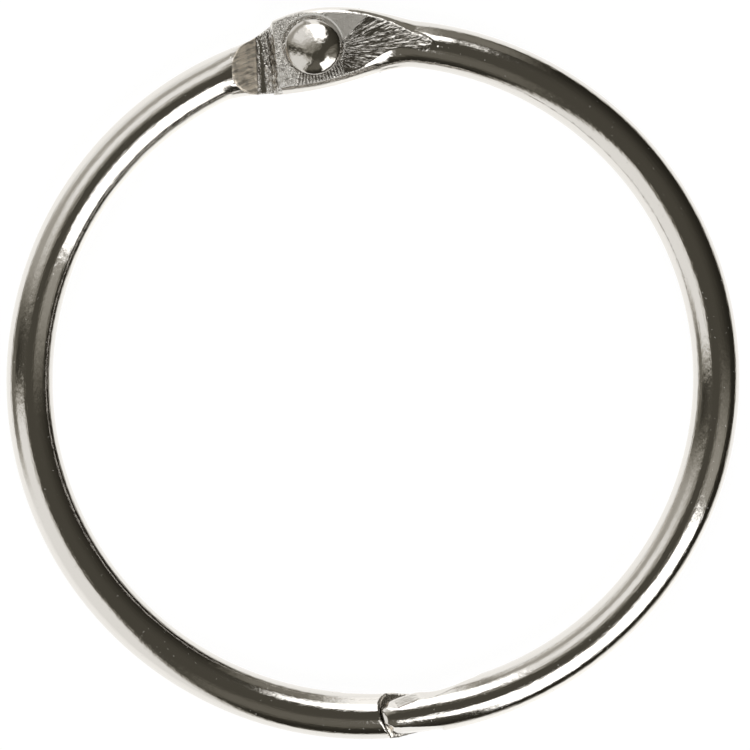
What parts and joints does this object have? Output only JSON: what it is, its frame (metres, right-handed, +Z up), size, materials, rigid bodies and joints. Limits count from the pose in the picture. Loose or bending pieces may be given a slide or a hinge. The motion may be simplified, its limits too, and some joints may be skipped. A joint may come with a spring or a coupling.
{
  "type": "binder ring",
  "caption": "Round hinged wire ring for punched sheets, with a riveted eye hinge at one side and a half-lap snap latch opposite it.",
  "frame": {"origin": "centre of the ring, on the plane that it lies on", "axes": "+Z up, the way the rivet's dome faces; +Y from the centre to the hinge; -Y to the latch; +X to the half that swings open"},
  "size_m": [0.0582, 0.0582, 0.0047],
  "materials": {
    "nickel_wire": "gloss",
    "nickel_rivet": "gloss"
  },
  "bodies": {
    "left_half": {"left_half_ring": "nickel_wire", "hinge_rivet": "nickel_rivet"},
    "right_half": {"right_half_ring": "nickel_wire"}
  },
  "joints": [
    {"name": "hinge_swing", "type": "hinge", "parent": "left_half", "child": "right_half", "pos_m": [0, 0.02676, 0.00185], "axis": [0, 0, 1], "range_deg": [0, 125]}
  ]
}
